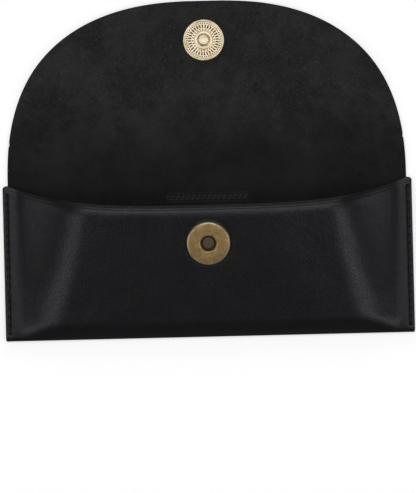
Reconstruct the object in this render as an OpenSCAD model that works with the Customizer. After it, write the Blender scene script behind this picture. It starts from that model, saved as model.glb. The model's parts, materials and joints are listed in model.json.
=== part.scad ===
// Soft leather glasses case: a folded pouch with a round flap and a magnetic snap.
// The case lies open on its back. +X runs along the mouth, +Y from the bottom fold to the
// tip of the flap, +Z up. The origin is on the table, under the middle of the open case.

/* [Pouch] */
// Width across the two side seams
pouch_w = 172; // [130:1:210]
// Height from the bottom fold to the tops of the seams
pouch_h = 65; // [52:1:80]
// Height of the front above the table at the middle of the mouth
bulge_h = 19; // [15:1:26]
// How far the middle of the mouth sits below the tops of the seams
mouth_dip = 10; // [5:1:14]
// Width of the flat glued margin inside each seam edge
margin_w = 3; // [3:0.5:7]
// Radius of the outer corner at the top of each seam
corner_r = 1.7; // [0.8:0.1:2.2]

/* [Leather] */
// Thickness of the leather
leather_t = 1.8; // [1.4:0.1:2.4]

/* [Flap] */
// Width of the flap where it leaves the pouch
flap_w = 168; // [120:1:205]
// Length of the flap beyond the tops of the seams
flap_len = 76.6; // [64:0.2:92]
// Fullness of the flap's curve, where 2 is an ellipse and 4 is nearly square
flap_fullness = 2.5; // [2:0.1:4]
// Distance from the tops of the seams to the first fold
fold_offset = 5; // [4:0.5:8]

/* [Stitching] */
// Distance between stitch holes
stitch_pitch = 3.4; // [3:0.1:6]
// Distance from the seam's outer edge to the stitch line
stitch_inset = 1.8; // [1.7:0.1:2.1]
// Distance from each end of the seam to its nearest stitch hole
stitch_end = 2.4; // [2:0.1:5]
// Thickness of the thread
thread_d = 0.7; // [0.5:0.1:0.8]

/* [Snap] */
// Diameter of the socket half, on the front
socket_d = 18; // [14:0.5:20]
// Height of the socket half above the leather
socket_h = 2.4; // [2:0.1:3.2]
// Diameter of the hole in the socket
socket_hole_d = 6.3; // [5.4:0.1:7]
// Distance from the tops of the seams down to the socket's centre
socket_drop = 25.4; // [22:0.2:30]
// Diameter of the plug half, on the flap
plug_d = 17.4; // [13.5:0.1:19.5]
// Height of the plug half above the leather
plug_h = 1.2; // [1:0.1:1.8]
// Diameter of the plug's centre pin
pin_d = 4.6; // [3.6:0.1:5]
// Distance from the tip of the flap to the plug's centre
plug_from_tip = 16.8; // [13:0.2:20]
// Diameter of each rivet's head
rivet_head_d = 10; // [8:0.5:12]
// Diameter of each rivet's shank
rivet_d = 3; // [2.4:0.1:3.4]

/* [Hidden] */

round_fn = 64;                   // sides of round metal parts in a preview
small_fn = 24;                   // and of threads and their holes
corner_fn = 32;                  // and of the round corners
t = leather_t;
half_w = pouch_w / 2;
dome_half = half_w - margin_w;   // the front leaves the back panel here
total_len = pouch_h + flap_len;

// The front is a sloping panel. A soft ridge divides it from a steeper side at each seam.
ridge_foot = 4;                  // distance from the margin to the ridge at the bottom fold
ridge_mouth = 24.5;              // and at the mouth
ridge_spread = 0.2;              // below 1, most of that distance is reached near the fold
ridge_softness = 0.4;            // share of the ridge's distance over which it bends, at the fold
mouth_softness = 0.6;            // and at the mouth
seam_fillet = 0.8;               // radius of the curve where a side leaves its margin, at the fold
mouth_fillet = 5;                // and at the mouth, where the leather leaves the stitches slowly
fold_fullness = 0.2;             // share of the front's height that it gains just above the fold
fold_reach = 0.12;               // and the share of its length in which it does
mouth_curve = 3.5;               // fullness of the mouth's dip
side_steps = 22;                 // stations from the middle to the side margin
rise_steps = 12;                 // rows from the bottom fold to the mouth
rise_crowding = 1.6;             // above 1, they are closer together near the fold
fold_steps = 6;                  // facets round the bottom fold
corner_steps = 4;

// Snap fits.
seat_depth = 0.3;                // each half is pressed this far into the leather
seat_clear = 0.1;                // play between a metal edge and its seat in the leather
metal_clear = 0.05;              // play between metal parts
sheet_t = 0.4;                   // thickness of the brass sheet
pole_t = 0.7;                    // thickness of the steel plate under the magnet
pin_depth = 1.3;                 // how far the pin stands out of the plug's face
pin_chamfer = 0.5;               // on the pin's nose, so that it swings in over the rim
pin_play = 0.15;                 // room between the pin's end and the socket's stub
stub_d = 5;
rivet_head_t = 0.6;
closed_gap = 0.2;                // room left between the two faces when closed
flat_r = socket_d / 2 + 5;       // the front is flat out to here round the socket
flat_fade = 10;                  // and takes up its curve again over this distance

// Hinge clearance between one length of leather and the next.
fold_clear = 0.3;

// ---- The front's surface ----

function smooth(u) = let (c = max(0, min(1, u))) c * c * (3 - 2 * c);

// How much of the full height the front has at a place: none in the margins, all between
// the ridges.
function from_seam(far, s) = far * far / (far + 2 * (seam_fillet + (mouth_fillet - seam_fillet) * s));
function side_share(x, s) =
    let (far = max(0, dome_half - abs(x)),
         ridge = ridge_foot + (ridge_mouth - ridge_foot) * pow(max(0, s), ridge_spread),
         share = from_seam(far, s) / from_seam(ridge, s),
         softness = ridge_softness + (mouth_softness - ridge_softness) * s,
         overlap = max(0, softness - abs(share - 1)) / softness)
    min(share, 1) - overlap * overlap * softness / 4;
function rise(s) = fold_fullness * (1 - pow(1 - min(1, s / fold_reach), 2)) + (1 - fold_fullness) * s;
steady_slope = 1 - fold_fullness;
first_slope = steady_slope + 2 * fold_fullness / fold_reach;
front_rise = bulge_h - 2 * t;

function corner_drop(x) =
    let (over = max(0, abs(x) - (half_w - corner_r)))
    corner_r - sqrt(max(0, corner_r * corner_r - over * over));
function mouth_y(x) = pouch_h - corner_drop(x)
    - mouth_dip * (1 - pow(min(1, abs(x) / dome_half), mouth_curve));
// Angle at which the front leaves the bottom fold.
function start_angle(x) = atan(first_slope * front_rise * side_share(x, 0) / (mouth_y(x) - t));
function start_y(x) = t - t * sin(start_angle(x));
function start_z(x) = t + t * cos(start_angle(x));

function front_y(x, s) = start_y(x) + (mouth_y(x) - start_y(x)) * s;
function dome_z(x, s) = start_z(x) + front_rise * side_share(x, s) * rise(s);

// The socket sits square on the front, on the centre line.
socket_y = pouch_h - socket_drop;
socket_s = (socket_y - start_y(0)) / (mouth_y(0) - start_y(0));
socket_z = dome_z(0, socket_s);
socket_tilt = atan(steady_slope * front_rise / (mouth_y(0) - start_y(0)));

function flatness(x, y) = 1 - smooth((norm([x, y - socket_y]) - flat_r) / flat_fade);
function seat_plane_z(y) = socket_z + (y - socket_y) * tan(socket_tilt);
function front_z(x, s) =
    let (y = front_y(x, s), w = flatness(x, y))
    dome_z(x, s) * (1 - w) + seat_plane_z(y) * w;

function front_point(x, s) = [x, front_y(x, s), front_z(x, s)];

// The front's outward direction, from two short steps across the surface.
step_s = 0.01;
step_x = 0.1;
function front_normal(x, s) =
    let (up = front_point(x, min(1, s + step_s)) - front_point(x, max(0, s - step_s)),
         across = front_point(x + step_x, s) - front_point(x - step_x, s),
         n = cross(across, up))
    n / norm(n);

// ---- The folds of the flap ----

// The first fold stands just above the seams. The second is where the flap turns down, and
// it is placed so that the plug lands on the socket.
plug_y = total_len - plug_from_tip;
fold1_y = pouch_h + fold_offset;
fold_z = t / 2;
lift = socket_h + plug_h + closed_gap + t / 2;
plug_closed = [socket_y - lift * sin(socket_tilt), socket_z + lift * cos(socket_tilt)];
up_slope = [cos(socket_tilt), sin(socket_tilt)];
reach = plug_closed - [fold1_y, fold_z];
run = plug_y - fold1_y;
fold2_to_plug = (run * run - reach * reach) / (2 * (run + reach * up_slope));
fold2_y = plug_y - fold2_to_plug;
fold2_closed = plug_closed + fold2_to_plug * up_slope;
fold1_angle = atan2(fold2_closed[1] - fold_z, fold2_closed[0] - fold1_y);
fold2_angle = 180 + socket_tilt - fold1_angle;
echo(fold1_y=fold1_y - total_len / 2, fold2_y=fold2_y - total_len / 2, fold_z=fold_z,
     fold1_angle=fold1_angle, fold2_angle=fold2_angle, total_len=total_len,
     socket=[socket_y - total_len / 2, socket_z, socket_tilt], plug_y=plug_y - total_len / 2);

// Room that a length of leather needs before a fold that turns through this angle.
function fold_room(angle) = max(t / 2, t / 2 / tan((180 - angle) / 2)) + fold_clear;

// ---- Shared shapes ----

module placed() translate([0, -total_len / 2, 0]) children();
module at_socket() translate([0, socket_y, socket_z]) rotate([socket_tilt, 0, 0]) children();
module at_plug() translate([0, plug_y, t]) children();

module disc(d, z0, z1) translate([0, 0, z0]) cylinder(d = d, h = z1 - z0, $fn = round_fn);

module ring(d_out, d_in, z0, z1) difference() {
    disc(d_out, z0, z1);
    disc(d_in, z0 - 1, z1 + 1);
}

// Half of a superellipse, from the tops of the seams to the tip.
function flap_point(a) = [
    flap_w / 2 * sign(cos(a)) * pow(abs(cos(a)), 2 / flap_fullness),
    pouch_h + flap_len * pow(sin(a), 2 / flap_fullness)];

module flap_outline() polygon([for (a = [0 : 4 : 180]) flap_point(a)]);

// The part of the flap's outline between two distances from the bottom fold.
module flap_slice(y0, y1) intersection() {
    flap_outline();
    translate([-half_w, y0]) square([pouch_w, y1 - y0]);
}

// Half the flap's width at a distance from the bottom fold.
function flap_half(y) = flap_w / 2
    * pow(1 - pow((y - pouch_h) / flap_len, flap_fullness), 1 / flap_fullness);

// A length of flap that starts with a round edge on a fold line.
module folded_strip(y0, y1) {
    linear_extrude(t) flap_slice(y0, y1);
    translate([-flap_half(y0), y0, fold_z]) rotate([0, 90, 0])
        cylinder(d = t, h = 2 * flap_half(y0), $fn = round_fn);
}

// ---- Stitching ----

stitch_count = floor((pouch_h - 2 * stitch_end) / stitch_pitch);
seam_x = half_w - stitch_inset;
hole_d = 1.5;
leg_share = 0.8;                 // the thread is squeezed where it goes through a hole
leg_d = thread_d * leg_share;
leg_clear = 0.06;                // play between a thread and its hole
leg_offset = hole_d / 2 - leg_d / 2 - leg_clear;
groove_play = 0.1;
groove_w = thread_d + 2 * groove_play;
first_hole = (pouch_h - stitch_count * stitch_pitch) / 2;
function hole_y(i) = first_hole + i * stitch_pitch;
top_run_z = 2 * t;
under_run_z = thread_d / 2 + groove_play / 2;

// Awl holes along both seams.
module stitch_holes(z0, z1) for (side = [-1, 1], i = [0 : stitch_count])
    translate([side * seam_x, hole_y(i), z0]) cylinder(d = hole_d, h = z1 - z0, $fn = small_fn);

// A channel that the stitches lie in, along both seams.
module stitch_channel(z0, z1) for (side = [-1, 1])
    translate([side * seam_x - groove_w / 2, hole_y(0), z0])
        cube([groove_w, hole_y(stitch_count) - hole_y(0), z1 - z0]);

// One stitch: a run on each face of the seam, joined by a leg in each hole.
module stitch(i) {
    y0 = hole_y(i) + leg_offset;
    y1 = hole_y(i + 1) - leg_offset;
    past = leg_d / 4;
    for (z = [under_run_z, top_run_z])
        translate([0, y0 - past, z]) rotate([-90, 0, 0])
            cylinder(d = thread_d, h = y1 - y0 + 2 * past, $fn = small_fn);
    for (y = [y0, y1])
        translate([0, y, under_run_z])
            cylinder(d = leg_d, h = top_run_z - under_run_z, $fn = small_fn);
}

module seam_thread(side) color("black") placed()
    for (i = [0 : stitch_count - 1]) translate([side * seam_x, 0, 0]) stitch(i);

module left_seam_thread() seam_thread(-1);
module right_seam_thread() seam_thread(1);

// ---- Leather ----

// Stations from one side edge to the other, close together in the rounded corners.
corner_stations = [for (i = [1 : corner_steps])
    half_w - corner_r * (1 - sin(90 * i / corner_steps))];
half_stations = concat(
    [for (i = [0 : side_steps]) dome_half * i / side_steps],
    [half_w - corner_r], corner_stations);
station_count = len(half_stations);
stations = concat(
    [for (i = [station_count - 1 : -1 : 1]) -half_stations[i]],
    half_stations);

// The rows' places, from 0 at the bottom fold to 1 at the mouth.
function row(j) = pow(j / rise_steps, rise_crowding);

// The front's cross-section at one station: round the bottom fold, up the outside to the
// mouth, and back down the inside to the middle of the fold.
function front_section(x) =
    let (turn = 180 - start_angle(x))
    concat(
        [for (i = [0 : fold_steps]) let (a = turn * i / fold_steps)
            [x, t - t * sin(a), t - t * cos(a)]],
        [for (j = [1 : rise_steps]) front_point(x, row(j))],
        [for (j = [rise_steps : -1 : 1]) front_point(x, row(j)) - t * front_normal(x, row(j))],
        [[x, t, t]]);

section_len = fold_steps + 1 + 2 * rise_steps + 1;

// One station's cross-section as a cap: a fan round the fold, then a strip up to the mouth.
function cap(first) =
    let (middle = first + section_len - 1, wall = first + fold_steps)
    concat(
        [for (j = [0 : fold_steps - 1]) [middle, first + j, first + j + 1]],
        [for (j = [0 : rise_steps - 1])
            [wall + j, wall + j + 1, middle - j - 1, middle - j]]);

function reversed(list) = [for (i = [len(list) - 1 : -1 : 0]) list[i]];

// Joins the cross-sections from side to side into one closed skin.
module front_shell() {
    sections = [for (x = stations) front_section(x)];
    last = len(sections) - 1;
    polyhedron(
        points = [for (section = sections) each section],
        faces = concat(
            [for (face = cap(0)) reversed(face)],
            cap(last * section_len),
            [for (i = [0 : last - 1], j = [0 : section_len - 1])
                let (k = (j + 1) % section_len, a = i * section_len, b = a + section_len)
                each [[a + j, a + k, b + k], [a + j, b + k, b + j]]]));
}

module front_panel() color("#1c1c1e") placed() difference() {
    front_shell();
    stitch_holes(t - 1, 2 * t + 1);
    stitch_channel(2 * t - thread_d / 2 - groove_play, 2 * t + 1);
    at_socket() {
        disc(socket_d + 2 * seat_clear, -seat_depth, 2);
        disc(rivet_head_d + 2 * seat_clear, -t - 2, -t + seat_depth);
        disc(rivet_d + 2 * seat_clear, -t - 1, 1);
    }
}

module back_outline() {
    translate([-half_w, t]) square([pouch_w, pouch_h - corner_r - t]);
    translate([-half_w + corner_r, pouch_h - corner_r - 1])
        square([pouch_w - 2 * corner_r, corner_r + 1]);
    for (side = [-1, 1]) translate([side * (half_w - corner_r), pouch_h - corner_r])
        circle(r = corner_r, $fn = corner_fn);
    flap_slice(pouch_h - 1, fold1_y - fold_room(fold1_angle));
    translate([-flap_w / 2, pouch_h - 1]) square([flap_w, 1]);
}

module back_panel() color("#242426") placed() difference() {
    linear_extrude(t) back_outline();
    stitch_holes(-1, t + 1);
    stitch_channel(-1, thread_d + groove_play);
}

module flap_spine() color("#2a2a2c") placed()
    folded_strip(fold1_y, fold2_y - fold_room(fold2_angle));

module flap_panel() color("#2f2f31") placed() difference() {
    folded_strip(fold2_y, total_len);
    at_plug() {
        disc(plug_d + 2 * seat_clear, -seat_depth, 2);
        disc(rivet_d + 2 * seat_clear, -t - 1, 1);
        disc(rivet_head_d + 2 * seat_clear, -t - 1, -t + rivet_head_t);
    }
}

// ---- Socket half of the snap ----

stub_top = socket_h - pin_depth - pin_play;
cup_in_d = socket_d - 2 * sheet_t;
collar_out_d = socket_hole_d + 2 * sheet_t;

module socket_cup() color("#8f7a50") placed() at_socket() {
    ring(socket_d, cup_in_d, -seat_depth, socket_h - sheet_t);
    ring(socket_d, socket_hole_d, socket_h - sheet_t, socket_h);
    ring(collar_out_d, socket_hole_d, pole_t, socket_h - sheet_t);
}

module socket_magnet() color("#26262a") placed() at_socket()
    ring(cup_in_d - 2 * metal_clear, collar_out_d + 2 * metal_clear,
         -seat_depth + pole_t, socket_h - sheet_t);

module socket_pole() color("#6d5a3c") placed() at_socket() difference() {
    union() {
        disc(cup_in_d - 2 * metal_clear, -seat_depth, -seat_depth + pole_t);
        disc(stub_d, -seat_depth, stub_top);
    }
    disc(rivet_d + 2 * metal_clear, -seat_depth - 1, stub_top - sheet_t);
}

module rivet(head_z0, head_z1, shank_top) {
    disc(rivet_head_d, head_z0, head_z1);
    disc(rivet_d, head_z0, shank_top);
}

module socket_rivet() color("#b9a06a") placed() at_socket()
    rivet(-t + seat_depth - rivet_head_t, -t + seat_depth, stub_top - sheet_t - metal_clear);

// ---- Plug half of the snap ----

plug_in_d = plug_d - 2 * sheet_t;
pin_gap = 0.3;                   // open ring between the pin and the disc
pin_hole_d = pin_d + 2 * pin_gap;
pin_flange_t = 0.4;

module plug_disc() color("#e3d2a8") placed() at_plug() {
    ring(plug_d, plug_in_d, -seat_depth, plug_h - sheet_t);
    ring(plug_d, pin_hole_d, plug_h - sheet_t, plug_h);
}

module plug_plate() color("#9a9a9e") placed() at_plug()
    ring(plug_in_d - 2 * metal_clear, pin_hole_d + 2 * pin_flange_t, -seat_depth, plug_h - sheet_t);

// A flanged pin, held between the leather and the disc, that the rivet's shank fills.
module plug_pin() color("#d9c492") placed() at_plug() difference() {
    union() {
        disc(pin_hole_d + pin_flange_t, -seat_depth, -seat_depth + pin_flange_t);
        disc(pin_d, -seat_depth, plug_h + pin_depth - pin_chamfer);
        translate([0, 0, plug_h + pin_depth - pin_chamfer])
            cylinder(d1 = pin_d, d2 = pin_d - 2 * pin_chamfer, h = pin_chamfer, $fn = round_fn);
    }
    disc(rivet_d + 2 * metal_clear, -seat_depth - 1, plug_h);
}

module plug_rivet() color("#d8c084") placed() at_plug()
    rivet(-t, -t + rivet_head_t, plug_h - metal_clear);

front_panel();
back_panel();
flap_spine();
flap_panel();
left_seam_thread();
right_seam_thread();
socket_cup();
socket_magnet();
socket_pole();
socket_rivet();
plug_disc();
plug_plate();
plug_pin();
plug_rivet();
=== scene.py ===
# %% [markdown]
# # A soft leather glasses case
# The real case is one piece of black leather. It is folded once along the bottom and sewn up
# both sides, so that it makes a flat pocket, and its long round end folds over the mouth as a
# flap. A magnetic snap holds it shut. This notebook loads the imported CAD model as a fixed
# frame and builds the leather, the stitches and the snap around it, where the CAD has them.

# %% Load the frame
import json
import math

import bmesh
import bpy
from mathutils import Matrix, Vector, noise

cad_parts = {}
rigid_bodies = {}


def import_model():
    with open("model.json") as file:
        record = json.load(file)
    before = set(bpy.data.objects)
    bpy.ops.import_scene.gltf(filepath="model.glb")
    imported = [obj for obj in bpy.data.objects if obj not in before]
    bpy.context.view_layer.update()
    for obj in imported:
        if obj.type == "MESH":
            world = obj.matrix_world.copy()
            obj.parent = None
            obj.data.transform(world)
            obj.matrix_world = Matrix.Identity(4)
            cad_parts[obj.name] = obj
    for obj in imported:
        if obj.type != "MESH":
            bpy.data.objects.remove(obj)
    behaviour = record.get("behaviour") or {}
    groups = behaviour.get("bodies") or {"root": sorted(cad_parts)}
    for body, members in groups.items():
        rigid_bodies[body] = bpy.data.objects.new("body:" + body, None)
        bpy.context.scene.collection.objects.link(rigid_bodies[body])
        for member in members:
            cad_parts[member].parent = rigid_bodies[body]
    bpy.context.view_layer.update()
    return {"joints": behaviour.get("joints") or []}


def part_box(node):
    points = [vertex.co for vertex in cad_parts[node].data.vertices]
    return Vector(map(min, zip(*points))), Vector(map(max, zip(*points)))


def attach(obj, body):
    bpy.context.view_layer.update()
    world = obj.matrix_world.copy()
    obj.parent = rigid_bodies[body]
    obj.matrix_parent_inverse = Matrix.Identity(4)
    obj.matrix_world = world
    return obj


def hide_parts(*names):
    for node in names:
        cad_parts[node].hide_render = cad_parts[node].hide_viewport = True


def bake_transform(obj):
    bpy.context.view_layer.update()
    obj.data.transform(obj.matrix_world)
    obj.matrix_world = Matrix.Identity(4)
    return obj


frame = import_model()
MM = 0.001


def deselect():
    for item in bpy.context.selected_objects:
        item.select_set(False)


def activate(item):
    """The one selected and active object, which an operator then acts on."""
    deselect()
    item.select_set(True)
    bpy.context.view_layer.objects.active = item


deselect()

# %% [markdown]
# ## Sizes
# Most sizes that the CAD model settles are read back from it: the outline of the pocket, the
# leather's thickness, where the two folds are, and where the plug is. The socket's place is given
# as a distance below the seam tops. What the CAD keeps as a curve, such as the dip of the mouth,
# is a formula, so it is repeated here with the same few numbers. Two differ a little: the sewn
# margin is narrower, and the leather leaves it in a slower curve at the mouth.

# %% Read the sizes
front_low, front_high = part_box("front_panel")
flap_low, flap_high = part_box("flap_panel")
cup_low, cup_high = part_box("socket_cup")
disc_low, disc_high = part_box("plug_disc")
folds = {joint["name"]: Vector(joint["pos_m"]) for joint in frame["joints"]}

HALF_W = front_high.x
BOTTOM_Y = front_low.y
SEAM_TOP_Y = front_high.y
POUCH_H = SEAM_TOP_Y - BOTTOM_Y
TIP_Y = flap_high.y
LEATHER = flap_high.z
BACK_FOLD_Y = folds["back_fold"].y
TOP_FOLD_Y = folds["top_fold"].y
SPLIT_Y = (BACK_FOLD_Y + TOP_FOLD_Y) / 2

BULGE_H = 19 * MM
MOUTH_DIP = 10 * MM
MOUTH_CURVE = 3.5
MARGIN_W = 2.4 * MM
CORNER_R = 1.7 * MM
RIDGE_FOOT = 4 * MM
RIDGE_MOUTH = 24.5 * MM
RIDGE_SPREAD = 0.2
RIDGE_SOFTNESS = 0.4
MOUTH_SOFTNESS = 0.6
SEAM_FILLET = 0.8 * MM
MOUTH_FILLET = 9 * MM
FOLD_FULLNESS = 0.2
FOLD_REACH = 0.12
FLAP_W = 168 * MM
FLAP_FULLNESS = 2.5
FLAP_LEN = TIP_Y - SEAM_TOP_Y
STITCH_X = HALF_W - 1.8 * MM
STITCH_PITCH = 3.4 * MM
STITCH_COUNT = 17
SOCKET_Y = SEAM_TOP_Y - 25.4 * MM
PLUG_CENTRE = Vector((0, (disc_low.y + disc_high.y) / 2, LEATHER))
FLAT_R = 14 * MM
FLAT_FADE = 10 * MM
print(f"pocket {2 * HALF_W:.3f} x {POUCH_H:.3f} m, leather {LEATHER * 1000:.1f} mm")

# %% [markdown]
# ## The camera and the light
# The case lies on a white table and is seen from straight above, turned by about a degree and
# a half. Smooth black leather shows almost nothing but what it reflects, so the lights are
# chosen by their reflections. Two narrow boxes, left and right, make the long soft lights on the
# shoulders of the pocket. A wide one overhead lights the rolled mouth, the snap and the rough
# side of the flap, and three low ones fill in from the sides and the back. The table glows a
# little so that it stays white, and glossy surfaces don't see it, or it would draw a bright line
# along the bottom fold.

# %% Camera, floor and lights
scene = bpy.context.scene
TURN = math.radians(1.38)
AIM = Vector((-0.2 * MM, -32.8 * MM, 0))
VIEW_W = 175.5 * MM
DISTANCE = 0.75
SENSOR = 36.0
FRAME_W, FRAME_H = 416, 493
TABLE_GREY = 0.93
TABLE_GLOW = 0.55
SKY = 0.16
camera_data = bpy.data.cameras.new("camera")
camera = bpy.data.objects.new("camera", camera_data)
scene.collection.objects.link(camera)
camera.location = AIM + Vector((0, 0, DISTANCE))
camera.rotation_euler = (0, 0, -TURN)
camera_data.sensor_width = SENSOR
camera_data.lens = SENSOR * DISTANCE / (VIEW_W * FRAME_H / FRAME_W)
scene.camera = camera

bpy.ops.mesh.primitive_plane_add(size=6, location=(0, 0, 0))
floor = bpy.context.object
floor.name = "floor"
floor_paint = bpy.data.materials.new("white_table")
floor_paint.use_nodes = True
floor_shader = floor_paint.node_tree.nodes["Principled BSDF"]
floor_shader.inputs["Base Color"].default_value = (TABLE_GREY, TABLE_GREY, TABLE_GREY, 1)
floor_shader.inputs["Roughness"].default_value = 0.9
floor_shader.inputs["Specular IOR Level"].default_value = 0.1
floor_shader.inputs["Emission Color"].default_value = (1, 1, 1, 1)
floor_shader.inputs["Emission Strength"].default_value = TABLE_GLOW
floor.data.materials.append(floor_paint)
floor.visible_glossy = False


def soft_box(name, place, size, power):
    """A rectangular light that faces the middle of the case."""
    data = bpy.data.lights.new(name, "AREA")
    data.shape = "RECTANGLE"
    data.size, data.size_y = size
    data.energy = power
    light = bpy.data.objects.new(name, data)
    scene.collection.objects.link(light)
    light.location = place
    light.rotation_euler = (-Vector(place)).to_track_quat("-Z", "Y").to_euler()
    return light


soft_box("top_box", (0, 0.20, 1.0), (0.9, 0.44), 1.85)
soft_box("left_box", (-0.58, -0.38, 0.85), (0.2, 0.62), 0.88)
soft_box("right_box", (0.58, -0.38, 0.85), (0.2, 0.62), 0.96)
soft_box("low_left_box", (-1.5, 0.1, 0.3), (0.4, 1.2), 1.2)
soft_box("low_right_box", (1.5, 0.1, 0.3), (0.4, 1.2), 1.3)
soft_box("low_back_box", (0, 1.3, 0.6), (1.6, 0.6), 3.0)

world = bpy.data.worlds.new("studio")
world.use_nodes = True
world.node_tree.nodes["Background"].inputs["Color"].default_value = (1, 1, 1, 1)
world.node_tree.nodes["Background"].inputs["Strength"].default_value = SKY
scene.world = world
scene.view_settings.view_transform = "Standard"
print("camera looks down from", round(camera.location.z, 3), "m")

# %% [markdown]
# ## Writing materials as sums
# A material is a small sum: grain plus pores, wear where the edge is, a little noise on the
# gloss. Wiring that by hand hides the sum in boxes and lines. Here a socket is wrapped in a
# class whose plus, minus, times and divide add the Math nodes, so a material reads as the
# formula that it is. Any other node comes from one method.


# %% A paint box for node materials
class Value:
    """One output of a node, which can be added to, multiplied and so on."""

    def __init__(self, paint, socket):
        self.paint = paint
        self.socket = socket

    def sum(self, operation, first, second):
        return self.paint.node("ShaderNodeMath", {"operation": operation}, {0: first, 1: second})

    def __add__(self, other):
        return self.sum("ADD", self, other)

    def __radd__(self, other):
        return self.sum("ADD", other, self)

    def __sub__(self, other):
        return self.sum("SUBTRACT", self, other)

    def __rsub__(self, other):
        return self.sum("SUBTRACT", other, self)

    def __mul__(self, other):
        return self.sum("MULTIPLY", self, other)

    def __rmul__(self, other):
        return self.sum("MULTIPLY", other, self)

    def __truediv__(self, other):
        return self.sum("DIVIDE", self, other)

    def __pow__(self, other):
        return self.sum("POWER", self, other)

    def between(self, low, high):
        """0 below low, 1 above high, and a smooth step from one to the other."""
        return self.paint.node(
            "ShaderNodeMapRange",
            {"interpolation_type": "SMOOTHSTEP"},
            {"Value": self, "From Min": low, "From Max": high},
        )


class Paint:
    """A material, its shader, and the few nodes that every finish uses."""

    def __init__(self, name, constants):
        self.material = bpy.data.materials.new(name)
        self.material.use_nodes = True
        self.tree = self.material.node_tree
        self.shader = self.tree.nodes["Principled BSDF"]
        for socket, value in constants.items():
            self.shader.inputs[socket].default_value = value
        self.place = self.node("ShaderNodeTexCoord", {}, {}, "Object")

    def node(self, kind, settings, inputs, output=0):
        made = self.tree.nodes.new(kind)
        for setting, value in settings.items():
            setattr(made, setting, value)
        for socket, value in inputs.items():
            if isinstance(value, Value):
                self.tree.links.new(value.socket, made.inputs[socket])
            else:
                made.inputs[socket].default_value = value
        return Value(self, made.outputs[output])

    def noise(self, size, detail=3.0, rough=0.55, place=None):
        """Clouds whose lumps are about this size, in metres, from 0 to 1."""
        inputs = {"Vector": place or self.place, "Scale": 1 / size, "Detail": detail, "Roughness": rough}
        return self.node("ShaderNodeTexNoise", {}, inputs, "Fac")

    def cells(self, size, feature, place=None):
        """Cells of about this size: F1 gives rounded pits, DISTANCE_TO_EDGE gives the lines between."""
        inputs = {"Vector": place or self.place, "Scale": 1 / size}
        return self.node("ShaderNodeTexVoronoi", {"feature": feature}, inputs, "Distance")

    def mix(self, share, first, second):
        """A colour between two colours."""
        return self.node(
            "ShaderNodeMix", {"data_type": "RGBA"}, {0: share, 6: first, 7: second}, 2
        )

    def stretched(self, scale):
        """Object coordinates, stretched, for a pattern that runs one way."""
        return self.node(
            "ShaderNodeMapping", {}, {"Vector": self.place, "Scale": scale}, "Vector"
        )

    def bump(self, height, depth, under=None):
        """A Bump node: height is from 0 to 1, and depth is what 1 stands for, in metres."""
        inputs = {"Height": height, "Distance": depth, "Strength": 1.0}
        if under is not None:
            inputs["Normal"] = under
        return self.node("ShaderNodeBump", {}, inputs)

    def feed(self, socket, value):
        self.tree.links.new(value.socket, self.shader.inputs[socket])


def grey(level, warm=0.0):
    """An almost neutral colour; warm above 0 leans to brown, and below 0 to blue."""
    return (level * (1 + warm), level, level * (1 - warm), 1)


print("paint box ready")

# %% [markdown]
# ## Black leather, the smooth side
# The outside is smooth full-grain leather with a dull polish. Up close it has fine pores and
# shallow lines that join into small cells, it is a little glossier where it was rubbed, and
# its black leans to blue. The dye is nearly even, so almost all of the look is in the
# roughness and in a very shallow bump, a few hundredths of a millimetre deep.


# %% Smooth side
def smooth_leather():
    constants = {"Specular IOR Level": 0.5, "Specular Tint": (0.92, 0.93, 1.0, 1)}
    paint = Paint("smooth_black_leather", constants)
    clouds = paint.noise(22 * MM, 4)
    pores = paint.cells(0.42 * MM, "F1")
    lines = paint.cells(1.1 * MM, "DISTANCE_TO_EDGE").between(0.0, 0.12)
    rubbed = paint.noise(7 * MM, 5, 0.6)
    shade = (clouds * 0.6 + rubbed * 0.4).between(0.3, 0.7)
    paint.feed("Base Color", paint.mix(shade, grey(0.0010, -0.08), grey(0.0026, -0.12)))
    paint.feed("Roughness", 0.24 + rubbed * 0.12 + (1 - lines) * 0.05)
    height = pores * 0.35 + lines * 0.35 + paint.noise(0.25 * MM, 2) * 0.3
    fine = paint.bump(height, 0.05 * MM)
    paint.feed("Normal", paint.bump(paint.noise(3.4 * MM, 2, 0.5), 0.09 * MM, fine))
    return paint.material


SMOOTH = smooth_leather()
print("made", SMOOTH.name)

# %% [markdown]
# ## Black leather, the rough side
# Inside, the same leather shows its flesh side: short matted fibres, like a coarse suede. It
# reflects no shape at all. What the eye sees is mottling at three scales, which are broad dye
# clouds, patches a few millimetres wide where the fibres lie the other way, and single pale
# fibres. A little sheen lifts it at glancing angles, as suede does.


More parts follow.
